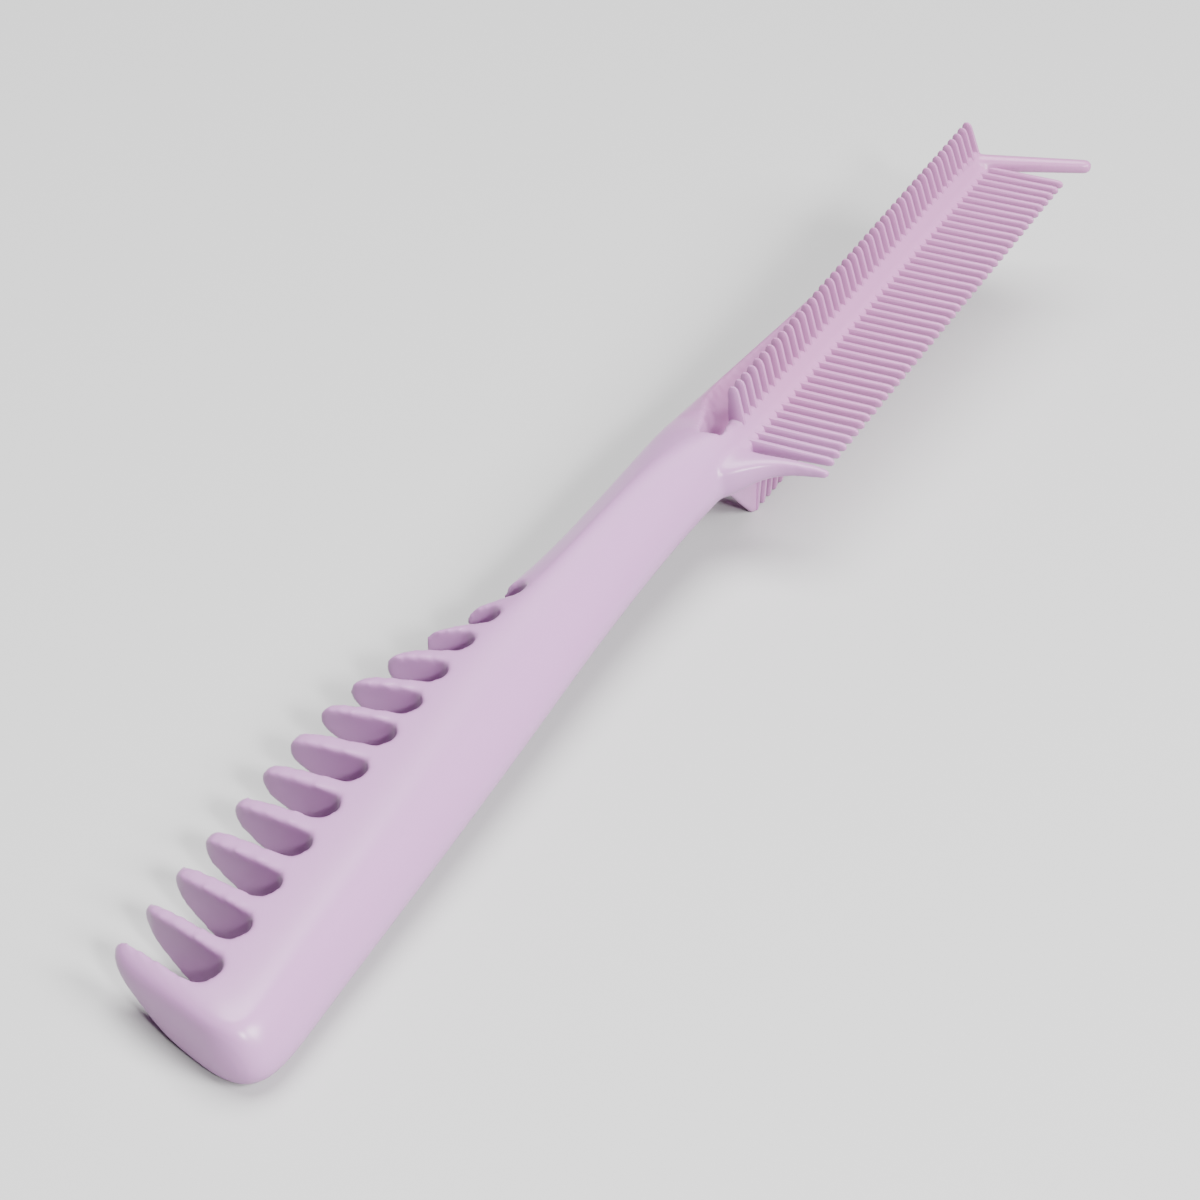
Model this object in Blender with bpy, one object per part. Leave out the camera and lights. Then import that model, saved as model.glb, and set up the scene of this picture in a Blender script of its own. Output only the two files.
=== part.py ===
"""A hair straightening comb, moulded in one piece of pale lilac plastic.

The handle is a wide-tooth comb with a thick rounded back. Its neck runs on into
a slim head whose spine carries three rows of fine teeth: a short row standing
up, a long row to the right and a row hanging down. The neck's left half runs on
beside the rows as a scooped, tapering back. A thick guard tooth closes the long
row near the neck, and a slim peg sticks out at the far end of the spine.

Shapes are drawn in millimetres in the comb's own frame: X along the spine
towards the tip, Y to the left, Z up, with the spine's near end at X = 0. The
last step turns that into metres and lays the comb down: it rests on the
underside of the handle's end and on the first tooth of the hanging row.
"""
import math

import bmesh
import bpy
from mathutils import Matrix, Vector

MM = 0.001

# Fine rows: tooth widths along the spine and how deep a row is rooted
FINE_ROOT_WIDTH = 1.15
FINE_TIP_WIDTH = 0.8
ROW_ROOT_DEPTH = 1.6
FLOOR_SIDE_TIP_Z = -15.4

# Each row: number of teeth, first tooth's place, pitch, then the first and the
# last tooth as root Y, root Z, tip Y, tip Z, and half the thickness at root and tip
ROWS = {
    # name: count, first_x, pitch, near, far, root_half, tip_half
    "standing_row": (
        43, -0.3, 2.18, (4.2, 2.9, 5.05, 8.2), (5.2, 3.1, 6.5, 8.0), 1.3, 0.7
    ),
    "long_row": (
        43, -2.0, 2.2, (0.3, 0.1, -12.9, 1.4), (1.2, 0.1, -12.1, 1.4), 1.15, 0.6
    ),
    "hanging_row": (
        41, 2.4, 2.2, (1.9, -4.0, 1.9, FLOOR_SIDE_TIP_Z),
        (2.8, -3.0, 2.8, FLOOR_SIDE_TIP_Z), 1.1, 0.6
    ),
}

# The last part of a fine tooth, where it narrows to its rounded tip
FINE_TIP_STARTS = 0.86
FINE_TIP_NARROWS = 0.5
FINE_TIP_SHOULDER = 0.1

# The slots between the wide teeth, from the handle's end: the inner end's
# place along X and Y, the width and the lean in degrees
SLOTS = (
    # x, end_y, width, lean
    (-138.4, 5.7, 5.3, 14.3),
    (-130.3, 6.7, 5.2, 11.7),
    (-121.9, 7.6, 5.0, 8.5),
    (-113.7, 8.3, 5.0, 6.0),
    (-105.6, 9.1, 5.1, 2.5),
    (-97.7, 9.7, 5.0, -1.0),
    (-89.6, 10.2, 5.1, -3.8),
    (-82.2, 10.6, 5.0, -6.8),
    (-74.6, 11.0, 4.9, -10.5),
    (-66.8, 11.3, 4.8, -15.0),
    (-59.5, 11.4, 4.8, -20.0),
    (-51.9, 11.5, 4.5, -26.0),
)
SLOT_LENGTH = 26.0
SLOT_CUT_HALF_HEIGHT = 14.0
SLOT_END_STEPS = 8

# The slots' mouths: distance from the tip line, and how far each side opens
SLOT_MOUTH = ((-3.4, 0.0), (-1.2, 0.35), (0.1, 1.0))
SLOT_OPEN = 1.6
SLOT_SHORTEST_MOUTH = 2.0
LEAN_PIVOT_Y = 6.0

# How the comb lies
HANDLE_UNDER = -6.8
HANDLE_REST_X = -141.5
FLAT_DEPTH = 0.35
FLOOR_BLOCK_BEHIND = 20.0
FLOOR_BLOCK_AHEAD = 120.0
FLOOR_BLOCK_HALF_WIDTH = 40.0
FLOOR_BLOCK_DEPTH = 10.0

# The body's sections from the handle's end to the tip of the back, one row each:
# place along X, lean in degrees, right side, ridge, left edge, left end of the flat
# underside, top, underside, middle height of the left edge and its half thickness
BODY_SECTIONS = (
    # at, lean, right, ridge, left, flat, top, under, edge_z, edge_half
    (-144.8, 16.5, 2.4, 4.6, 14.0, 9.0, 0.6, -4.0, -1.4, 1.3),
    (-144.4, 16.5, 0.0, 2.4, 18.0, 11.2, 2.4, -5.6, -0.8, 1.8),
    (-143.2, 16.3, -3.2, 0.2, 21.1, 12.3, 3.4, -6.5, -0.3, 2.2),
    (-141.0, 15.8, -5.1, -1.2, 21.9, 12.8, 3.8, -6.8, 0.0, 2.4),
    (-137.0, 14.4, -5.8, -1.6, 21.8, 13.0, 3.8, -6.8, 0.0, 2.4),
    (-129.5, 12.0, -5.2, -0.7, 22.2, 12.3, 3.8, -6.8, 0.0, 2.4),
    (-115.0, 6.5, -4.3, 0.9, 22.7, 11.0, 3.8, -6.8, 0.0, 2.4),
    (-100.0, 1.5, -3.4, 2.4, 23.6, 10.5, 3.8, -6.8, 0.0, 2.4),
    (-88.0, -2.0, -2.6, 3.8, 23.6, 10.5, 3.8, -6.8, 0.0, 2.4),
    (-78.0, -5.0, -1.9, 5.0, 22.9, 10.4, 3.8, -6.8, -0.1, 2.5),
    (-69.0, -7.0, -1.2, 6.1, 21.0, 10.0, 3.8, -6.8, -0.4, 2.7),
    (-61.0, -5.0, -0.6, 6.6, 18.2, 9.0, 3.8, -6.8, -0.8, 3.0),
    (-53.0, -2.0, 0.0, 6.8, 15.6, 8.0, 3.8, -6.9, -1.2, 3.2),
    (-40.0, 0.0, 0.8, 6.9, 14.6, 7.3, 3.9, -7.0, -1.4, 3.3),
    (-25.0, 0.0, 1.3, 6.8, 14.7, 7.5, 4.0, -7.0, -1.5, 3.3),
    (-14.0, 0.0, 1.1, 5.8, 14.9, 7.4, 4.0, -6.9, -1.5, 3.2),
    (-7.5, 0.0, 0.8, 3.8, 15.1, 7.4, 3.9, -6.6, -1.6, 3.0),
    (-0.8, 0.0, 0.6, 2.9, 15.0, 7.2, 2.0, -5.8, -1.7, 2.4),
    (-0.2, 0.0, 0.6, 2.9, 15.0, 7.2, 2.9, -5.7, -1.7, 2.4),
    (8.0, 0.0, 0.6, 2.9, 14.6, 7.0, 2.9, -4.9, -1.8, 1.7),
    (50.0, 0.0, 1.0, 3.3, 11.4, 5.9, 3.0, -4.3, -1.8, 1.5),
    (90.0, 0.0, 1.5, 3.8, 8.4, 5.0, 3.1, -3.5, -1.6, 1.2),
    (93.2, 0.0, 2.6, 4.2, 6.6, 4.9, 1.8, -2.4, -1.2, 0.8),
)

# The scoop between the standing row and the back's outer edge:
# place along X, right wall, floor, start of the rise, shoulder, outer side
SCOOP_SECTIONS = (
    # at, wall, floor, rise, shoulder, shoulder_z, outer
    (-6.8, 3.7, -2.9, 5.7, 6.6, 2.8, 7.0),
    (-3.5, 4.6, -3.8, 6.9, 8.4, 2.6, 8.9),
    (0.5, 5.7, -4.0, 8.0, 10.3, 2.0, 10.9),
    (5.0, 5.8, -3.8, 8.6, 12.1, 0.9, 13.4),
    (11.0, 5.8, -3.3, 8.9, 13.1, -0.3, 18.0),
    (50.0, 6.3, -2.7, 7.9, 10.6, -0.9, 16.0),
    (96.0, 6.8, -2.0, 7.1, 7.9, -0.9, 12.0),
)

SCOOP_OPEN_ABOVE = 12.0

# The guard tooth from inside the neck to its tip:
# place along Y, near side, far side, underside, top
GUARD_SECTIONS = (
    # at, near, far, under, top
    (5.0, -12.0, -3.5, -6.0, 0.3),
    (2.4, -16.0, -3.6, -5.8, 0.4),
    (0.6, -13.2, -3.5, -5.2, 1.3),
    (-0.9, -10.6, -4.0, -3.8, 1.4),
    (-3.2, -7.6, -4.2, -2.2, 1.4),
    (-5.7, -5.9, -3.9, -1.4, 1.45),
    (-8.7, -5.1, -3.5, -0.7, 1.5),
    (-12.3, -4.7, -3.8, 0.0, 1.5),
    (-13.1, -4.5, -4.0, 0.4, 1.3),
)

PEG_ROOT = Vector((90.8, 3.6, 1.2))
PEG_TIP = Vector((98.3, -13.9, 1.5))
PEG_ROOT_RADIUS = 1.6
PEG_TIP_RADIUS = 1.0
PEG_SIDES = 12

# The web under the neck: half its thickness, and its side outline as the place
# along X from the first hanging tooth and the height
GUSSET_HALF = 0.9
GUSSET_SIDE = (
    (-13.5, -2.0),
    (-9.0, -6.8),
    (-0.5, FLOOR_SIDE_TIP_Z),
    (0.2, FLOOR_SIDE_TIP_Z),
    (0.5, -2.0),
)

PLASTIC_COLOUR = (0.66, 0.50, 0.68, 1.0)
PLASTIC_ROUGHNESS = 0.35


def clear_scene():
    for old in list(bpy.data.objects):
        bpy.data.objects.remove(old, do_unlink=True)


def new_object(name, mesh_maker):
    """Wrap a finished bmesh in an object, with its faces pointing out."""
    bmesh.ops.recalc_face_normals(mesh_maker, faces=mesh_maker.faces)
    mesh = bpy.data.meshes.new(name)
    mesh_maker.to_mesh(mesh)
    mesh_maker.free()
    made = bpy.data.objects.new(name, mesh)
    bpy.context.scene.collection.objects.link(made)
    return made


def loft(name, outlines):
    """Bridge closed outlines of equal length and cap both ends."""
    maker = bmesh.new()
    rings = []
    for outline in outlines:
        corners = [maker.verts.new(point) for point in outline]
        rings.append(corners)
    maker.faces.new(rings[0])
    maker.faces.new(rings[-1])
    count = len(rings[0])
    for ring, following in zip(rings, rings[1:]):
        for i in range(count):
            j = (i + 1) % count
            maker.faces.new((ring[i], ring[j], following[j], following[i]))
    bmesh.ops.triangulate(maker, faces=maker.faces)
    return new_object(name, maker)


def body_outline(at, lean, right, ridge, left, flat, top, under, edge_z, edge_half):
    """One section of the body, starting at its bottom right corner."""
    slope = math.tan(math.radians(lean))
    side = (
        (flat, under),
        (right + 2.8, under),
        (right + 1.3, under + 0.12 * (top - under)),
        (right, under + 0.33 * (top - under)),
        (right + 0.08 * (ridge - right), under + 0.52 * (top - under)),
        (right + 0.45 * (ridge - right), under + 0.79 * (top - under)),
        (ridge - 0.10 * (ridge - right), top - 0.05 * (top - under)),
        (ridge + 0.35 * (ridge - right) + 0.5, top),
        (ridge + 0.45 * (left - ridge), top - 0.3 * (top - edge_z - edge_half)),
        (left - 2.2, edge_z + edge_half),
        (left - 0.6, edge_z + 0.62 * edge_half),
        (left, edge_z),
        (left - 0.6, edge_z - 0.62 * edge_half),
        (left - 2.2, edge_z - edge_half),
    )
    return [Vector((at + (y - LEAN_PIVOT_Y) * slope, y, z)) for y, z in side]


def make_body():
    outlines = [body_outline(*row) for row in BODY_SECTIONS]
    return loft("comb", outlines)


def scoop_outline(at, wall, floor, rise, shoulder, shoulder_z, outer):
    side = (
        (wall, SCOOP_OPEN_ABOVE),
        (wall, floor + 0.5),
        (wall + 0.6, floor),
        (rise, floor + 0.3),
        (shoulder, shoulder_z),
        (outer, shoulder_z + 0.6 * (outer - shoulder)),
        (outer + 1.0, SCOOP_OPEN_ABOVE),
    )
    return [Vector((at, y, z)) for y, z in side]


def make_scoop():
    return loft("scoop_cutter", [scoop_outline(*row) for row in SCOOP_SECTIONS])


def guard_outline(at, near, far, under, top):
    soft = 0.22 * (far - near)
    low = under + 0.28 * (top - under)
    side = (
        (near + soft, under),
        (near, low + 0.3 * (top - under)),
        (near + 0.6 * soft, top),
        (far - 0.3 * soft, top),
        (far, low),
        (far - soft, under),
    )
    return [Vector((x, at, z)) for x, z in side]


def make_guard_tooth():
    return loft("guard_tooth", [guard_outline(*row) for row in GUARD_SECTIONS])


def make_peg():
    """The round peg at the far end, tapered and domed at its tip."""
    along = (PEG_TIP - PEG_ROOT).normalized()
    across = along.cross(Vector((0.0, 0.0, 1.0))).normalized()
    up = across.cross(along)
    length = (PEG_TIP - PEG_ROOT).length
    dome = PEG_TIP_RADIUS
    stations = (
        (0.0, PEG_ROOT_RADIUS),
        (0.35 * length, 0.5 * (PEG_ROOT_RADIUS + PEG_TIP_RADIUS)),
        (length - dome, PEG_TIP_RADIUS),
        (length - 0.4 * dome, 0.8 * PEG_TIP_RADIUS),
        (length, 0.35 * PEG_TIP_RADIUS),
    )
    outlines = []
    for reach, radius in stations:
        ring = []
        for i in range(PEG_SIDES):
            turn = 2.0 * math.pi * i / PEG_SIDES
            spoke = math.cos(turn) * across + math.sin(turn) * up
            ring.append(PEG_ROOT + reach * along + radius * spoke)
        outlines.append(ring)
    return loft("peg", outlines)


def make_row(name, count, first_x, pitch, near, far, root_half, tip_half):
    """A strip with one tooth to each pitch, grown from its outer faces.

    near and far give the first and the last tooth's root and tip in Y and Z.
    """
    run = (count - 1) * pitch

    def corner(x, reach, side):
        share = (x - first_x) / run
        root_y, root_z, tip_y, tip_z = (a + share * (b - a) for a, b in zip(near, far))
        root = Vector((x, root_y, root_z))
        tooth = Vector((0.0, tip_y - root_y, tip_z - root_z))
        across = tooth.normalized().cross(Vector((1.0, 0.0, 0.0)))
        return root + reach * tooth + side * across

    maker = bmesh.new()
    rings = []
    sunk = -ROW_ROOT_DEPTH / math.hypot(near[2] - near[0], near[3] - near[1])
    for i in range(count):
        for side_x in (-0.5, 0.5):
            x = first_x + i * pitch + side_x * FINE_ROOT_WIDTH
            places = (
                corner(x, sunk, -root_half),
                corner(x, 0.0, -root_half),
                corner(x, 0.0, root_half),
                corner(x, sunk, root_half),
            )
            rings.append([maker.verts.new(place) for place in places])
    maker.faces.new(rings[0])
    maker.faces.new(rings[-1])
    sprouts = []
    for number, (ring, following) in enumerate(zip(rings, rings[1:])):
        for i in range(4):
            j = (i + 1) % 4
            face = maker.faces.new((ring[i], ring[j], following[j], following[i]))
            if i == 1 and number % 2 == 0:
                sprouts.append(face)
    bmesh.ops.recalc_face_normals(maker, faces=maker.faces)
    stages = (
        (FINE_TIP_STARTS, FINE_TIP_WIDTH + FINE_TIP_SHOULDER, tip_half + FINE_TIP_SHOULDER),
        (1.0, FINE_TIP_NARROWS * FINE_TIP_WIDTH, FINE_TIP_NARROWS * tip_half),
    )
    for number, face in enumerate(sprouts):
        x = first_x + number * pitch
        for reach, width, half in stages:
            face = bmesh.ops.extrude_discrete_faces(maker, faces=[face])["faces"][0]
            middle = face.calc_center_median()
            inward = corner(x, reach, 1.0) - corner(x, reach, 0.0)
            for vert in face.verts:
                offset = vert.co - middle
                side_x = math.copysign(0.5 * width, offset.x)
                side = math.copysign(half, offset.dot(inward))
                vert.co = corner(x, reach, side) + Vector((side_x, 0.0, 0.0))
    bmesh.ops.triangulate(maker, faces=maker.faces)
    return new_object(name, maker)


def make_gusset():
    """The web that ties the first hanging tooth to the neck's underside."""
    first_x = ROWS["hanging_row"][1]
    y = ROWS["hanging_row"][3][0]
    near = [Vector((first_x + x, y - GUSSET_HALF, z)) for x, z in GUSSET_SIDE]
    far = [Vector((first_x + x, y + GUSSET_HALF, z)) for x, z in GUSSET_SIDE]
    return loft("gusset", (near, far))


def edge_y(x):
    """The wide teeth's tip line, read from the body's sections."""
    for row, following in zip(BODY_SECTIONS, BODY_SECTIONS[1:]):
        if row[0] <= x <= following[0]:
            share = (x - row[0]) / (following[0] - row[0])
            return row[4] + share * (following[4] - row[4])
    return BODY_SECTIONS[0][4]


def make_slot(x, end_y, width, lean):
    """A cutter for one slot: a round inner end, and a mouth that flares."""
    half = 0.5 * width
    mouth = max(edge_y(x) - end_y, SLOT_SHORTEST_MOUTH)
    outline = []
    for i in range(SLOT_END_STEPS + 1):
        turn = math.pi * (1.0 + i / SLOT_END_STEPS)
        outline.append((half * math.cos(turn), half + half * math.sin(turn)))
    flank = [(half + opened, mouth + reach) for reach, opened in SLOT_MOUTH]
    flank.append((half + SLOT_OPEN, SLOT_LENGTH))
    outline += flank + [(-px, py) for px, py in reversed(flank)]
    turned = Matrix.Rotation(-math.radians(lean), 4, "Z")
    moved = Matrix.Translation((x, end_y, 0.0))
    rings = []
    for z in (-SLOT_CUT_HALF_HEIGHT, SLOT_CUT_HALF_HEIGHT):
        rings.append([moved @ turned @ Vector((px, py, z)) for px, py in outline])
    return loft("slot_cutter", rings)


def make_floor_cutter():
    """A block below the surface that the comb lies on, to leave a small flat."""
    rest = Vector((HANDLE_REST_X, 0.0, HANDLE_UNDER + FLAT_DEPTH))
    tip = Vector((ROWS["hanging_row"][1], 0.0, FLOOR_SIDE_TIP_Z + FLAT_DEPTH))
    run = (tip - rest).normalized()
    down = Vector((run.z, 0.0, -run.x))
    near = rest - FLOOR_BLOCK_BEHIND * run
    far = tip + FLOOR_BLOCK_AHEAD * run
    deep = FLOOR_BLOCK_DEPTH * down
    rings = []
    for y in (-FLOOR_BLOCK_HALF_WIDTH, FLOOR_BLOCK_HALF_WIDTH):
        shift = Vector((0.0, y, 0.0))
        outline = (near, far, far + deep, near + deep)
        rings.append([corner + shift for corner in outline])
    return loft("floor_cutter", rings)


def combine(target, others, operation):
    """Fold other solids into the target, one exact Boolean each."""
    for other in others:
        change = target.modifiers.new("fold_in", "BOOLEAN")
        change.operation = operation
        change.solver = "EXACT"
        change.object = other
        graph = bpy.context.evaluated_depsgraph_get()
        result = bpy.data.meshes.new_from_object(target.evaluated_get(graph))
        target.modifiers.clear()
        old = target.data
        target.data = result
        bpy.data.meshes.remove(old)
        bpy.data.objects.remove(other, do_unlink=True)


def lay_down(comb):
    """Turn the comb as it lies, in metres, centred over the floor."""
    rise = HANDLE_UNDER - FLOOR_SIDE_TIP_Z
    tilt = math.atan2(rise, ROWS["hanging_row"][1] - HANDLE_REST_X)
    comb.data.transform(Matrix.Rotation(-tilt, 4, "Y"))
    comb.data.transform(Matrix.Scale(MM, 4))
    places = [vert.co for vert in comb.data.vertices]
    low = Vector([min(place[i] for place in places) for i in range(3)])
    high = Vector([max(place[i] for place in places) for i in range(3)])
    middle = 0.5 * (low + high)
    comb.data.transform(Matrix.Translation((-middle.x, -middle.y, -low.z)))


def plastic():
    material = bpy.data.materials.new("lilac_plastic")
    material.use_nodes = True
    shader = material.node_tree.nodes["Principled BSDF"]
    shader.inputs["Base Color"].default_value = PLASTIC_COLOUR
    shader.inputs["Roughness"].default_value = PLASTIC_ROUGHNESS
    shader.inputs["Metallic"].default_value = 0.0
    material.diffuse_color = PLASTIC_COLOUR
    return material


def build():
    clear_scene()
    comb = make_body()
    combine(comb, [make_scoop()], "DIFFERENCE")
    slots = [make_slot(*row) for row in SLOTS]
    combine(comb, slots, "DIFFERENCE")
    extras = [make_guard_tooth(), make_peg(), make_gusset()]
    rows = [make_row(name, *row) for name, row in ROWS.items()]
    combine(comb, extras + rows, "UNION")
    combine(comb, [make_floor_cutter()], "DIFFERENCE")
    lay_down(comb)
    comb.data.materials.clear()
    comb.data.materials.append(plastic())
    comb.data.shade_smooth()
    comb.data.set_sharp_from_angle(angle=math.radians(35.0))


build()
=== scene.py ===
"""A hair straightening comb of pale lilac plastic, lying on a pale floor.

Shapes are drawn in millimetres in the comb's own frame: X along the spine
towards the peg, Y towards the wide teeth, Z up, with the spine's near end at
X = 0. Each finished piece is then laid down on the floor, in metres.
"""
import math

import bmesh
import bpy
from mathutils import Matrix, Quaternion, Vector


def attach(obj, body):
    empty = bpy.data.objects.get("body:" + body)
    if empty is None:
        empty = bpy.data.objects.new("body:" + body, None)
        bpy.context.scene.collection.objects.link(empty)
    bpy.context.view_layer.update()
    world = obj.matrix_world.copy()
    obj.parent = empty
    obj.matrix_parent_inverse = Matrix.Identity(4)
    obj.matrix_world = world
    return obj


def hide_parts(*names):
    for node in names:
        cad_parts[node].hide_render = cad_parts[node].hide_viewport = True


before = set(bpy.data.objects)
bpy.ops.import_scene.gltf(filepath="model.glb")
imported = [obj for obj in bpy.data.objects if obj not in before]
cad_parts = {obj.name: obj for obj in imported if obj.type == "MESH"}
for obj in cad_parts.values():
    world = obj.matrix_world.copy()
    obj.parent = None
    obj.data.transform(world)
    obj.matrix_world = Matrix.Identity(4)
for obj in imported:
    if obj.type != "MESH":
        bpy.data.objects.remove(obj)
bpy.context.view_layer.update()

# The photographer's camera: a long lens beyond the handle's end, about 35 degrees
# above the table and 27 degrees to the right of the comb. It is set by where it
# stands, the point it looks at and a slight roll to one side.
CAMERA_STANDS = Vector((-0.35433, -0.17373, 0.26990))
CAMERA_AIMS = Vector((-0.00363, 0.00784, -0.00293))
CAMERA_ROLL = math.radians(2.03)
CAMERA_LENS = 96.0
CAMERA_SENSOR = 36.0
CAMERA_NEAREST = 0.01

camera = bpy.data.objects.new("camera", bpy.data.cameras.new("camera"))
camera.data.lens = CAMERA_LENS
camera.data.sensor_width = CAMERA_SENSOR
camera.data.clip_start = CAMERA_NEAREST
camera.location = CAMERA_STANDS
level = (CAMERA_AIMS - CAMERA_STANDS).to_track_quat("-Z", "Y")
camera.rotation_mode = "QUATERNION"
camera.rotation_quaternion = level @ Quaternion((0.0, 0.0, 1.0), CAMERA_ROLL)
bpy.context.scene.collection.objects.link(camera)
bpy.context.scene.camera = camera

# The comb's body is one moulding in glossy lilac plastic: the wide-tooth handle,
# the neck, the scooped back beside the fine teeth, the guard tooth, the web under
# it and the peg. Everything but the fine teeth is one skin with softened edges.
ALONG_SPINE = Vector((1.0, 0.0, 0.0))
MERGE_DISTANCE = 1e-5
ROUNDING_LEVELS = 2


def add_piece(name, maker):
    """Wrap a finished bmesh in an object, with its faces pointing out."""
    bmesh.ops.remove_doubles(maker, verts=maker.verts, dist=MERGE_DISTANCE)
    bmesh.ops.recalc_face_normals(maker, faces=maker.faces)
    mesh = bpy.data.meshes.new(name)
    maker.to_mesh(mesh)
    maker.free()
    piece = bpy.data.objects.new(name, mesh)
    bpy.context.scene.collection.objects.link(piece)
    return piece


def skin_over(maker, outlines, sharp_ends=False):
    """Bridge a row of closed outlines and close both ends."""
    crease = maker.edges.layers.float.get("crease_edge")
    if crease is None:
        crease = maker.edges.layers.float.new("crease_edge")
    loops = []
    for outline in outlines:
        corners = [maker.verts.new(point) for point in outline]
        following = corners[1:] + corners[:1]
        loops.append([maker.edges.new(pair) for pair in zip(corners, following)])
    for loop, following in zip(loops, loops[1:]):
        bmesh.ops.bridge_loops(maker, edges=loop + following)
    for loop in (loops[0], loops[-1]):
        bmesh.ops.contextual_create(maker, geom=loop)
        for edge in loop:
            edge[crease] = float(sharp_ends)


def rounded(piece):
    rounding = piece.modifiers.new("rounding", "SUBSURF")
    rounding.levels = ROUNDING_LEVELS
    rounding.render_levels = ROUNDING_LEVELS


def cut(piece, cutter):
    slicing = piece.modifiers.new("slicing", "BOOLEAN")
    slicing.operation = "DIFFERENCE"
    slicing.solver = "EXACT"
    slicing.use_self = True
    slicing.object = cutter


def worked(piece):
    """The piece's mesh with its modifiers worked in, and the piece taken away."""
    graph = bpy.context.evaluated_depsgraph_get()
    mesh = bpy.data.meshes.new_from_object(piece.evaluated_get(graph))
    bpy.data.objects.remove(piece, do_unlink=True)
    return mesh


# Handle, neck and back, in cross-sections from the handle's end to the tip of the
# back. They lean with the wide teeth, about a line along the handle. The right side
# is thick and round, the left edge thin, and the underside flat.
LEAN_PIVOT_Y = 6.0
BODY_SECTIONS = (
    # at, lean, right, ridge, left, flat, top, under, edge_z, edge_half
    (-144.9, 16.5, 1.8, 4.0, 15.0, 9.6, 1.0, -4.3, -1.2, 1.5),
    (-144.5, 16.5, -0.2, 2.2, 18.6, 11.4, 2.5, -5.7, -0.8, 1.9),
    (-143.3, 16.3, -3.4, 0.1, 21.5, 12.4, 3.5, -6.6, -0.3, 2.2),
    (-141.0, 15.8, -5.4, -1.2, 22.2, 12.9, 3.9, -6.9, 0.0, 2.4),
    (-137.0, 14.4, -6.1, -1.6, 22.0, 13.1, 3.95, -6.95, 0.0, 2.5),
    (-129.5, 12.0, -5.5, -0.7, 22.4, 12.3, 3.95, -6.95, 0.0, 2.5),
    (-115.0, 6.5, -4.6, 0.9, 22.9, 11.0, 3.95, -6.95, 0.0, 2.5),
    (-100.0, 1.5, -3.7, 2.4, 23.8, 10.5, 3.95, -6.95, 0.0, 2.5),
    (-88.0, -2.0, -2.9, 3.8, 23.8, 10.5, 3.95, -6.95, 0.0, 2.5),
    (-78.0, -5.0, -2.2, 5.0, 23.1, 10.4, 3.95, -6.95, -0.1, 2.6),
    (-69.0, -7.0, -1.5, 6.1, 21.2, 10.0, 3.95, -6.95, -0.4, 2.8),
    (-61.0, -5.0, -0.9, 6.6, 18.4, 9.0, 3.95, -6.95, -0.8, 3.1),
    (-53.0, -2.0, -0.3, 6.8, 15.8, 8.0, 3.95, -7.05, -1.2, 3.3),
    (-40.0, 0.0, 0.5, 6.9, 14.8, 7.3, 4.05, -7.15, -1.4, 3.4),
    (-25.0, 0.0, 1.0, 6.8, 14.9, 7.5, 4.15, -7.15, -1.5, 3.4),
    (-14.0, 0.0, 0.8, 5.8, 15.1, 7.4, 4.15, -7.05, -1.5, 3.3),
    (-7.8, 0.0, 0.5, 3.9, 15.3, 7.4, 4.05, -6.75, -1.6, 3.1),
    (-6.4, 0.0, 0.5, 3.7, 15.3, 7.3, 4.0, -6.65, -1.6, 3.0),
    (-4.0, 0.0, 0.45, 3.3, 15.3, 7.3, 3.4, -6.3, -1.6, 2.8),
    (-1.4, 0.0, 0.4, 2.9, 15.2, 7.2, 2.6, -5.9, -1.7, 2.5),
    (-0.4, 0.0, 0.4, 2.9, 15.2, 7.2, 2.5, -5.8, -1.7, 2.5),
    (0.8, 0.0, 0.4, 2.9, 15.1, 7.2, 2.95, -5.7, -1.7, 2.4),
    (8.0, 0.0, 0.4, 2.9, 14.8, 7.0, 2.95, -5.0, -1.8, 1.8),
    (50.0, 0.0, 0.8, 3.3, 11.6, 5.9, 3.05, -4.4, -1.8, 1.6),
    (88.0, 0.0, 1.3, 3.8, 8.7, 5.0, 3.15, -3.6, -1.6, 1.3),
    (92.2, 0.0, 1.7, 4.0, 7.6, 5.0, 2.6, -3.0, -1.4, 1.1),
    (93.5, 0.0, 2.6, 4.2, 6.6, 4.9, 1.8, -2.4, -1.2, 0.8),
)
UNDER_CORNER = 2.8
UNDER_ROUND = 1.3
RIDGE_FLAT = 0.5
EDGE_ROUND = 2.2
EDGE_LIP = 0.6
EDGE_LIP_UP = 0.62


def body_outline(at, lean, right, ridge, left, flat, top, under, edge_z, edge_half):
    """A section from the middle of the underside, by the right side, to the left edge.

    Up the right side its points are shares of that side's width and of the height.
    """
    tall = top - under
    wide = ridge - right
    side = (
        # across, up
        (0.5 * (flat + right + UNDER_CORNER), under),
        (right + UNDER_CORNER, under),
        (right + UNDER_ROUND, under + 0.12 * tall),
        (right, under + 0.33 * tall),
        (right + 0.08 * wide, under + 0.52 * tall),
        (right + 0.45 * wide, under + 0.79 * tall),
        (ridge - 0.10 * wide, top - 0.05 * tall),
        (ridge + 0.35 * wide + RIDGE_FLAT, top),
        (ridge + 0.45 * (left - ridge), top - 0.3 * (top - edge_z - edge_half)),
        (left - EDGE_ROUND, edge_z + edge_half),
        (left - EDGE_LIP, edge_z + EDGE_LIP_UP * edge_half),
        (left, edge_z),
        (left - EDGE_LIP, edge_z - EDGE_LIP_UP * edge_half),
        (left - EDGE_ROUND, edge_z - edge_half),
        (flat, under),
    )
    slope = math.tan(math.radians(lean))
    return [Vector((at + (y - LEAN_PIVOT_Y) * slope, y, z)) for y, z in side]


handle_maker = bmesh.new()
skin_over(handle_maker, [body_outline(*row) for row in BODY_SECTIONS])
body_blank = add_piece("body_blank", handle_maker)
rounded(body_blank)

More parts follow.
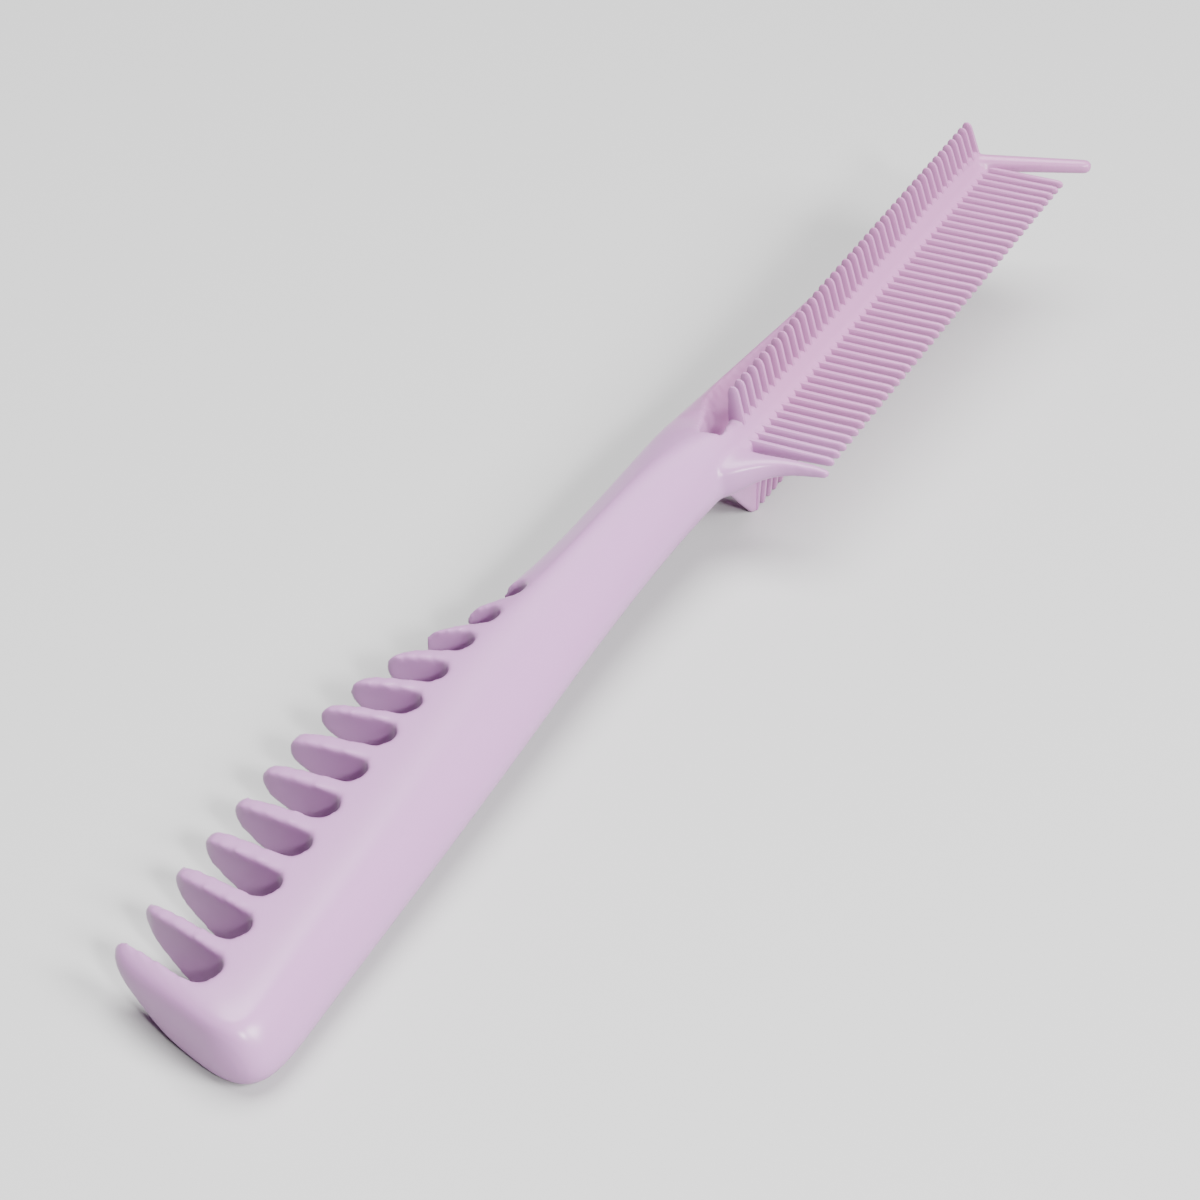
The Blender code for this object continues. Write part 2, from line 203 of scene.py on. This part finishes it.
# The scoop beside the standing row: its right wall, floor, start of the rise and
# shoulder, and the outer side that thins the back's lip. It is open above.
SCOOP_SECTIONS = (
    # at, slant, wall, floor, rise, shoulder, shoulder_z, outer
    (-6.1, 0.28, 3.9, -3.0, 5.9, 6.9, 3.2, 7.2),
    (-5.7, 0.28, 4.0, -3.2, 6.1, 7.2, 3.1, 7.5),
    (-3.3, 0.2, 4.7, -4.0, 7.0, 8.5, 2.8, 8.9),
    (0.5, 0.0, 5.7, -4.2, 8.0, 10.4, 2.1, 10.9),
    (5.0, 0.0, 5.8, -4.0, 8.6, 12.2, 1.0, 13.4),
    (11.0, 0.0, 5.8, -3.4, 8.9, 13.2, -0.3, 18.0),
    (50.0, 0.0, 6.3, -2.7, 7.9, 10.6, -0.9, 16.0),
    (96.0, 0.0, 6.8, -2.0, 7.1, 7.9, -0.9, 12.0),
)
SCOOP_OPENS_AT = 12.0
SCOOP_WALL_BEND = 2.2
SCOOP_WALL_FOOT = 0.5
SCOOP_CORNER = 0.6
SCOOP_MIDDLE_UP = 0.05
SCOOP_RISE_UP = 0.3
SCOOP_OUTER_CLIMB = 0.6
SCOOP_OUTER_LEAN = 1.0


def scoop_outline(at, slant, wall, floor, rise, shoulder, shoulder_z, outer):
    """A section from the top of the right wall over the floor to the outer side."""
    corner = wall + SCOOP_CORNER
    foot = floor + SCOOP_RISE_UP
    side = (
        # across, up
        (wall, SCOOP_OPENS_AT),
        (wall, floor + SCOOP_WALL_BEND),
        (wall, floor + SCOOP_WALL_FOOT),
        (corner, floor),
        (0.5 * (corner + rise), floor + SCOOP_MIDDLE_UP),
        (rise, foot),
        (0.5 * (rise + shoulder), 0.5 * (foot + shoulder_z)),
        (shoulder, shoulder_z),
        (outer, shoulder_z + SCOOP_OUTER_CLIMB * (outer - shoulder)),
        (outer + SCOOP_OUTER_LEAN, SCOOP_OPENS_AT),
    )
    return [Vector((at - slant * (y - wall), y, z)) for y, z in side]


scoop_maker = bmesh.new()
skin_over(scoop_maker, [scoop_outline(*row) for row in SCOOP_SECTIONS], True)
scoop = add_piece("scoop", scoop_maker)

# The slots between the wide teeth, each placed by its round inner end, and leaned.
# A slot flares where it comes out at the teeth's ends.
SLOTS = (
    # x, end_y, width, lean
    (-138.4, 5.7, 5.3, 14.3),
    (-130.3, 6.7, 5.2, 11.7),
    (-121.9, 7.6, 5.0, 8.5),
    (-113.7, 8.3, 5.0, 6.0),
    (-105.6, 9.1, 5.1, 2.5),
    (-97.7, 9.7, 5.0, -1.0),
    (-89.6, 10.2, 5.1, -3.8),
    (-82.2, 10.6, 5.0, -6.8),
    (-74.6, 11.0, 4.9, -10.5),
    (-66.8, 11.3, 4.8, -15.0),
    (-59.5, 11.4, 4.8, -20.0),
    (-51.9, 11.5, 4.5, -26.0),
)
SLOT_REACH = 26.0
SLOT_HALF_HEIGHT = 14.0
SLOT_SIDES = 32
SLOT_OUTER_SQUASH = 0.02
SLOT_SHORTEST = 2.0
SLOT_FLARE = 0.4
SLOT_FLARE_LENGTH = 2.2
SLOT_FLARE_SHARE = 0.4
SLOT_FLARE_STEPS = 5
SLOT_STEPS_BEYOND = 1
SLOT_FLARE_STOPS = 1.2
JUST_PAST = 0.01


def wide_teeth_end(x):
    """How far the wide teeth reach at a place along the handle."""
    for row, following in zip(BODY_SECTIONS, BODY_SECTIONS[1:]):
        if row[0] <= x <= following[0]:
            share = (x - row[0]) / (following[0] - row[0])
            return row[4] + share * (following[4] - row[4])
    return BODY_SECTIONS[0][4]


def only_verts(parts):
    return [part for part in parts if isinstance(part, bmesh.types.BMVert)]


def slot_cutter(maker, x, end_y, width, lean):
    """A disc, its outer half drawn out flat, extruded, and flared at the mouth."""
    half = 0.5 * width
    mouth = max(wide_teeth_end(x) - end_y, SLOT_SHORTEST)
    flat = bmesh.ops.create_circle(
        maker, cap_ends=True, segments=SLOT_SIDES, radius=half
    )["verts"]
    bmesh.ops.translate(maker, verts=flat, vec=(0.0, half, -SLOT_HALF_HEIGHT))
    outer = [vert for vert in flat if vert.co.y > half + JUST_PAST]
    bmesh.ops.scale(maker, verts=outer, vec=(1.0, SLOT_OUTER_SQUASH, 1.0))
    bmesh.ops.translate(maker, verts=outer, vec=(0.0, SLOT_REACH, 0.0))
    disc = flat[0].link_faces[:]
    lid = only_verts(bmesh.ops.extrude_face_region(maker, geom=disc)["geom"])
    bmesh.ops.translate(maker, verts=lid, vec=(0.0, 0.0, 2.0 * SLOT_HALF_HEIGHT))
    corners = flat + lid
    opening = min(SLOT_FLARE_LENGTH, SLOT_FLARE_SHARE * mouth)
    for step in range(SLOT_FLARE_STEPS + SLOT_STEPS_BEYOND + 1):
        reach = mouth - opening * (1.0 - step / SLOT_FLARE_STEPS)
        edges = [edge for vert in corners for edge in vert.link_edges]
        faces = [face for vert in corners for face in vert.link_faces]
        sliced = bmesh.ops.bisect_plane(
            maker,
            geom=list(dict.fromkeys(corners + edges + faces)),
            plane_co=(0.0, reach, 0.0),
            plane_no=(0.0, 1.0, 0.0),
        )["geom_cut"]
        corners = list(dict.fromkeys(corners + only_verts(sliced)))
    for vert in corners:
        opened = (vert.co.y - mouth) / opening + 1.0
        flare = SLOT_FLARE * min(max(opened, 0.0), SLOT_FLARE_STOPS) ** 2
        vert.co.x += math.copysign(flare, vert.co.x)
    turned = Matrix.Rotation(-math.radians(lean), 4, "Z")
    placed = Matrix.Translation((x, end_y, 0.0)) @ turned
    bmesh.ops.transform(maker, matrix=placed, verts=corners)


slots_maker = bmesh.new()
for row in SLOTS:
    slot_cutter(slots_maker, *row)
slots = add_piece("slots", slots_maker)
cut(body_blank, scoop)
cut(body_blank, slots)

# The guard tooth closes the long row. Its sections run from inside the neck to its
# tip, and its near side swells into the neck.
GUARD_SECTIONS = (
    # at, near, far, under, top, far_top
    (4.2, -11.5, -2.8, -6.2, 1.2, 1.8),
    (2.4, -12.4, -2.9, -6.0, 1.2, 1.7),
    (0.6, -11.6, -3.1, -5.4, 1.25, 1.5),
    (-0.9, -10.3, -3.6, -4.0, 1.35, 1.4),
    (-3.2, -7.9, -3.9, -2.4, 1.35, 1.45),
    (-5.7, -6.2, -3.6, -1.6, 1.4, 1.4),
    (-8.7, -5.4, -3.3, -0.9, 1.45, 1.45),
    (-12.3, -5.0, -3.5, -0.3, 1.5, 1.5),
    (-13.4, -4.9, -3.7, 0.0, 1.4, 1.4),
)
GUARD_SOFTNESS = 0.2


def guard_outline(at, near, far, under, top, far_top):
    """A section up the near side, over the top and down the far side."""
    soft = GUARD_SOFTNESS * (far - near)
    tall = top - under
    side = (
        # along, up
        (near + 1.2 * soft, under),
        (near + 0.2 * soft, under + 0.3 * tall),
        (near, under + 0.62 * tall),
        (near + 0.35 * soft, top - 0.14 * tall),
        (near + 1.1 * soft, top),
        (far - 1.2 * soft, far_top),
        (far - 0.1 * soft, far_top - 0.2 * tall),
        (far, under + 0.4 * tall),
        (far - soft, under),
    )
    return [Vector((x, at, z)) for x, z in side]


guard_maker = bmesh.new()
skin_over(guard_maker, [guard_outline(*row) for row in GUARD_SECTIONS])
guard_blank = add_piece("guard_blank", guard_maker)
rounded(guard_blank)

# The peg sticks out at the far end of the spine. It is a tapered round rod, and a
# bevel domes its tip.
PEG_ROOT = Vector((90.0, 5.5, 1.2))
PEG_TIP = Vector((98.4, -14.2, 1.5))
PEG_ROOT_RADIUS = 1.6
PEG_TIP_RADIUS = 1.2
PEG_SIDES = 24
PEG_RIM_WITHIN = 1.1 * PEG_TIP_RADIUS
PEG_DOME = 0.85 * PEG_TIP_RADIUS
PEG_DOME_STEPS = 5


def add_peg(maker):
    along = PEG_TIP - PEG_ROOT
    turned = along.to_track_quat("Z", "Y").to_matrix().to_4x4()
    bmesh.ops.create_cone(
        maker,
        cap_ends=True,
        segments=PEG_SIDES,
        radius1=PEG_ROOT_RADIUS,
        radius2=PEG_TIP_RADIUS,
        depth=along.length,
        matrix=Matrix.Translation(0.5 * (PEG_ROOT + PEG_TIP)) @ turned,
    )
    rim = [
        edge
        for edge in maker.edges
        if all((vert.co - PEG_TIP).length < PEG_RIM_WITHIN for vert in edge.verts)
    ]
    bmesh.ops.bevel(
        maker,
        geom=rim,
        offset=PEG_DOME,
        segments=PEG_DOME_STEPS,
        profile=0.5,
        affect="EDGES",
        material=-1,
    )


# The web is a thin plate that ties the first hanging tooth to the neck's underside.
# The comb rests on its tip.
WEB_MIDDLE = 2.1
WEB_HALF = 0.6
WEB_SIDE = (
    # along, up
    (-11.1, -2.0),
    (-6.6, -6.8),
    (1.7, -15.6),
    (2.9, -15.6),
    (2.9, -2.0),
)


def add_web(maker):
    faces = (WEB_MIDDLE - WEB_HALF, WEB_MIDDLE + WEB_HALF)
    skin_over(maker, [[Vector((x, y, z)) for x, z in WEB_SIDE] for y in faces])


# Three low beams run along the spine, one for each row of fine teeth, which grow
# from them.
BEAM_DEPTH = 1.6
BEAMS = (
    # first_x, last_x, near root y z, far root y z, direction y z, half
    (-0.9, 91.8, (4.2, 2.9), (5.2, 3.1), (0.16, 1.0), 1.2),
    (-4.4, 91.0, (0.3, 0.1), (1.2, 0.1), (-1.0, 0.1), 1.05),
    (1.8, 91.0, (1.9, -4.0), (2.8, -3.0), (0.0, -1.0), 1.0),
)


def add_beam(maker, first_x, last_x, near, far, direction, half):
    grow = Vector((0.0, *direction)).normalized()
    across = grow.cross(ALONG_SPINE)
    outlines = []
    for x, (y, z) in ((first_x, near), (last_x, far)):
        root = Vector((x, y, z))
        low = root - BEAM_DEPTH * grow
        outlines.append((
            low - half * across, root - half * across,
            root + half * across, low + half * across,
        ))
    skin_over(maker, outlines)


# All of these become one skin, as in the mould, which is then smoothed so that its
# edges are soft.
SKIN_GRAIN = 0.4
SKIN_SOFTENING = 10
SKIN_SOFTENING_SHARE = 0.5

body_maker = bmesh.new()
body_maker.from_mesh(worked(body_blank))
body_maker.from_mesh(worked(guard_blank))
bpy.data.objects.remove(scoop, do_unlink=True)
bpy.data.objects.remove(slots, do_unlink=True)
add_peg(body_maker)
add_web(body_maker)
for beam in BEAMS:
    add_beam(body_maker, *beam)
body_blank = add_piece("body_blank", body_maker)
reskin = body_blank.modifiers.new("one_skin", "REMESH")
reskin.mode = "VOXEL"
reskin.voxel_size = SKIN_GRAIN
reskin.use_smooth_shade = True
soften = body_blank.modifiers.new("soft_edges", "SMOOTH")
soften.factor = SKIN_SOFTENING_SHARE
soften.iterations = SKIN_SOFTENING
body_mesh = worked(body_blank)
body_mesh.name = "comb_body"
comb_body = bpy.data.objects.new("comb_body", body_mesh)
bpy.context.scene.collection.objects.link(comb_body)

# The comb lies slightly tilted, on the underside of the handle's end and on the tip
# of the web.
LIES_AT = Vector((0.0235809, -0.0047314, 0.0148800))
LIES_TILTED = math.radians(3.4201)
METRES = 0.001
LAID_DOWN = (
    Matrix.Translation(LIES_AT)
    @ Matrix.Rotation(-LIES_TILTED, 4, "Y")
    @ Matrix.Scale(METRES, 4)
)


def lay_down(piece):
    """Lay a finished piece on the floor, flattened a little where it rests."""
    piece.data.transform(LAID_DOWN)
    for vert in piece.data.vertices:
        vert.co.z = max(vert.co.z, 0.0)
    piece.data.shade_smooth()


class Wire:
    """One output of a shader node. A sum or a product of wires adds a Math node."""

    def __init__(self, tree, socket):
        self.tree = tree
        self.socket = socket

    @classmethod
    def node(cls, tree, kind, settings=(), sockets=(), output=0):
        """Add a node: its settings first, then values or links by socket."""
        made = tree.nodes.new(kind)
        for name, value in dict(settings).items():
            setattr(made, name, value)
        for name, value in dict(sockets).items():
            if isinstance(value, cls):
                tree.links.new(value.socket, made.inputs[name])
            else:
                made.inputs[name].default_value = value
        return cls(tree, made.outputs[output])

    def maths(self, operation, other):
        return Wire.node(
            self.tree, "ShaderNodeMath", {"operation": operation}, {0: self, 1: other}
        )

    def __add__(self, other):
        return self.maths("ADD", other)

    __radd__ = __add__

    def __mul__(self, other):
        return self.maths("MULTIPLY", other)

    __rmul__ = __mul__


# The plastic's own colours, and a pinker one that is painted light for the glow of light
# through the thin head, with where along the comb, in metres, that painted glow starts
# and is full. A Mix node has its two colours at sockets 6 and 7 and the mixed one at
# output 2.
LILAC = (0.41, 0.205, 0.413, 1.0)
LILAC_DEEP = (0.393, 0.19, 0.395, 1.0)
# A pinker lilac, painted light for the glow of light shining through the thin head.
LILAC_LIT_THROUGH = (0.392, 0.168, 0.345, 1.0)
LIT_THROUGH_FROM = 0.012
LIT_THROUGH_FULLY = 0.034
CLOUDS = {"Scale": 35.0, "Detail": 3.0, "Roughness": 0.5}
CLOUDS_IN_COLOUR = 0.5
CLOUDS_IN_GLOSS = 0.06
RIPPLE = {"Scale": 260.0, "Detail": 2.0, "Roughness": 0.4}
RIPPLE_BUMP = {"Strength": 0.06, "Distance": 0.0003}
PLASTIC = {
    "Specular IOR Level": 0.36,
    "Subsurface Weight": 0.1,
    "Subsurface Radius": (1.0, 0.45, 0.8),
    "Subsurface Scale": 0.0015,
}
MIX_FIRST = 6
MIX_SECOND = 7
MIX_RESULT = 2


def mixed(tree, share, first, second):
    return Wire.node(
        tree,
        "ShaderNodeMix",
        {"data_type": "RGBA"},
        {"Factor": share, MIX_FIRST: first, MIX_SECOND: second},
        MIX_RESULT,
    )


def lilac_plastic(name, roughness):
    """Moulded plastic: faint clouds in the colour, a soft gloss, a fine ripple.

    The thin head of the comb lets some light through; that glow is painted into the
    colour, which turns pinker towards the head.
    """
    material = bpy.data.materials.new(name)
    material.use_nodes = True
    tree = material.node_tree
    shader = tree.nodes["Principled BSDF"]
    place = Wire.node(tree, "ShaderNodeTexCoord", output="Object")
    clouds = Wire.node(tree, "ShaderNodeTexNoise", sockets={"Vector": place, **CLOUDS})
    ripple = Wire.node(tree, "ShaderNodeTexNoise", sockets={"Vector": place, **RIPPLE})
    thick = mixed(tree, clouds * CLOUDS_IN_COLOUR, LILAC, LILAC_DEEP)
    along = Wire.node(tree, "ShaderNodeSeparateXYZ", sockets={"Vector": place}, output="X")
    lit_through = Wire.node(
        tree,
        "ShaderNodeMapRange",
        sockets={"Value": along, "From Min": LIT_THROUGH_FROM, "From Max": LIT_THROUGH_FULLY},
    )
    # Painted light: towards the head the colour turns pinker, standing in for light
    # shining through the thin plastic.
    colour = mixed(tree, lit_through, thick, LILAC_LIT_THROUGH)
    gloss = roughness + clouds * CLOUDS_IN_GLOSS
    bump = Wire.node(tree, "ShaderNodeBump", sockets={**RIPPLE_BUMP, "Height": ripple})
    for socket, wire in (("Base Color", colour), ("Roughness", gloss), ("Normal", bump)):
        tree.links.new(wire.socket, shader.inputs[socket])
    for socket, value in PLASTIC.items():
        shader.inputs[socket].default_value = value
    return material


BODY_ROUGHNESS = 0.26

lay_down(comb_body)
comb_body.data.materials.append(lilac_plastic("body_plastic", BODY_ROUGHNESS))
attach(comb_body, "root")
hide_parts("comb")

# The fine teeth are moulded with the spine, in three rows that comb and grip a
# thin lock of hair: a short row standing up, a long row to the right and a row
# hanging down. Each tooth tapers to a rounded end.
FINE_ROWS = {
    # name: count, first_x, pitch,
    # root y, root z, tip y and tip z of the nearest tooth, and of the farthest,
    # half thickness at root and tip, half width at root and tip, squareness
    "standing_row": (
        43, -0.3, 2.18,
        (4.2, 2.9, 5.05, 8.2), (5.2, 3.1, 6.5, 8.0),
        1.3, 0.7, 0.52, 0.38, 0.6,
    ),
    "long_row": (
        43, -2.0, 2.2,
        (0.3, 0.1, -12.9, 1.4), (1.2, 0.1, -12.1, 1.4),
        1.15, 0.7, 0.6, 0.45, 0.25,
    ),
    "hanging_row": (
        41, 2.4, 2.2,
        (1.9, -4.0, 1.9, -15.4), (2.8, -3.0, 2.8, -15.4),
        1.1, 0.6, 0.57, 0.4, 0.5,
    ),
}
TOOTH_SUNK = 1.0
TOOTH_SIDES = 12
TOOTH_END = 1.0
TOOTH_END_MIDDLE = 0.35
TOOTH_END_NARROWS = 0.5
# How much farther from the middle a square's corner is than its side
SQUARE_CORNER = 0.41


def whole(maker):
    return list(maker.verts) + list(maker.edges) + list(maker.faces)


def fine_row(
    name, count, first_x, pitch, near, far, root_half, tip_half, wide, tip_wide, square
):
    """One tooth from a tapered rod with a rounded end, copied along the spine."""
    length = math.hypot(near[2] - near[0], near[3] - near[1])
    maker = bmesh.new()
    bmesh.ops.create_cone(
        maker,
        cap_ends=True,
        segments=TOOTH_SIDES,
        radius1=1.0,
        radius2=1.0,
        depth=length + TOOTH_SUNK,
        matrix=Matrix.Translation((0.0, 0.0, 0.5 * (length - TOOTH_SUNK))),
    )
    for reach in (length - TOOTH_END, length - TOOTH_END_MIDDLE):
        bmesh.ops.bisect_plane(
            maker,
            geom=whole(maker),
            plane_co=(0.0, 0.0, reach),
            plane_no=(0.0, 0.0, 1.0),
        )
    for vert in maker.verts:
        share = max(vert.co.z / length, 0.0)
        half = root_half + share * (tip_half - root_half)
        half_wide = wide + share * (tip_wide - wide)
        into_end = max(vert.co.z - length + TOOTH_END, 0.0)
        rounding = 1.0 - TOOTH_END_NARROWS * into_end ** 3
        turn = math.atan2(vert.co.y, vert.co.x)
        corner = 1.0 + square * SQUARE_CORNER * abs(math.sin(2.0 * turn))
        vert.co.x *= half_wide * rounding * corner
        vert.co.y *= half * rounding * corner
    blank = whole(maker)
    teeth = [only_verts(blank)]
    while len(teeth) < count:
        teeth.append(only_verts(bmesh.ops.duplicate(maker, geom=blank)["geom"]))
    for number, tooth in enumerate(teeth):
        share = number / (count - 1)
        root_y, root_z, tip_y, tip_z = (a + share * (b - a) for a, b in zip(near, far))
        along = Vector((0.0, tip_y - root_y, tip_z - root_z)) / length
        across = along.normalized().cross(ALONG_SPINE)
        stance = Matrix((ALONG_SPINE, across, along)).transposed().to_4x4()
        at = Matrix.Translation((first_x + number * pitch, root_y, root_z))
        bmesh.ops.transform(maker, matrix=at @ stance, verts=tooth)
    return add_piece(name, maker)


TEETH_ROUGHNESS = 0.3
TEETH_SHARP_ANGLE = math.radians(50.0)

teeth_plastic = lilac_plastic("teeth_plastic", TEETH_ROUGHNESS)
for name, row in FINE_ROWS.items():
    teeth = fine_row(name, *row)
    lay_down(teeth)
    teeth.data.set_sharp_from_angle(angle=TEETH_SHARP_ANGLE)
    teeth.data.materials.append(teeth_plastic)
    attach(teeth, "root")

# The floor is a sheet of pale grey paper. One big soft lamp hangs high over the
# comb, a smaller one lights its right flank, and a small one beside the camera throws
# the faint shadows of the wide teeth. The walls of the room are nearly dark.
FLOOR_GREY = (0.45, 0.45, 0.45, 1.0)
FLOOR_ROUGHNESS = 0.6
FLOOR_REACH = 3.0
FLOOR_BELOW = 0.00005

floor_maker = bmesh.new()
bmesh.ops.create_grid(floor_maker, x_segments=1, y_segments=1, size=FLOOR_REACH)
bmesh.ops.translate(floor_maker, verts=floor_maker.verts, vec=(0.0, 0.0, -FLOOR_BELOW))
floor = add_piece("floor", floor_maker)
floor_paper = bpy.data.materials.new("floor_paper")
floor_paper.use_nodes = True
paper = floor_paper.node_tree.nodes["Principled BSDF"]
paper.inputs["Base Color"].default_value = FLOOR_GREY
paper.inputs["Roughness"].default_value = FLOOR_ROUGHNESS
floor.data.materials.append(floor_paper)

LAMPS = (
    # name, stands, size, power
    ("overhead", (0.22, 0.2, 1.25), 1.1, 43.0),
    ("right", (-0.12, -0.88, 0.66), 0.45, 24.0),
    ("beside_camera", (-0.58, -0.65, 0.59), 0.13, 11.0),
)


def soft_lamp(name, stands, size, power):
    """A round lamp that shines at the middle of the comb."""
    lamp = bpy.data.objects.new(name, bpy.data.lights.new(name, "AREA"))
    lamp.data.shape = "DISK"
    lamp.data.size = size
    lamp.data.energy = power
    lamp.location = stands
    lamp.rotation_mode = "QUATERNION"
    lamp.rotation_quaternion = (-Vector(stands)).to_track_quat("-Z", "Y")
    bpy.context.scene.collection.objects.link(lamp)


for lamp in LAMPS:
    soft_lamp(*lamp)

WALLS_COLOUR = (1.0, 1.0, 1.0, 1.0)
WALLS_BRIGHTNESS = 0.02

walls = bpy.data.worlds.new("walls")
walls.use_nodes = True
glow = walls.node_tree.nodes["Background"]
glow.inputs["Color"].default_value = WALLS_COLOUR
glow.inputs["Strength"].default_value = WALLS_BRIGHTNESS
bpy.context.scene.world = walls
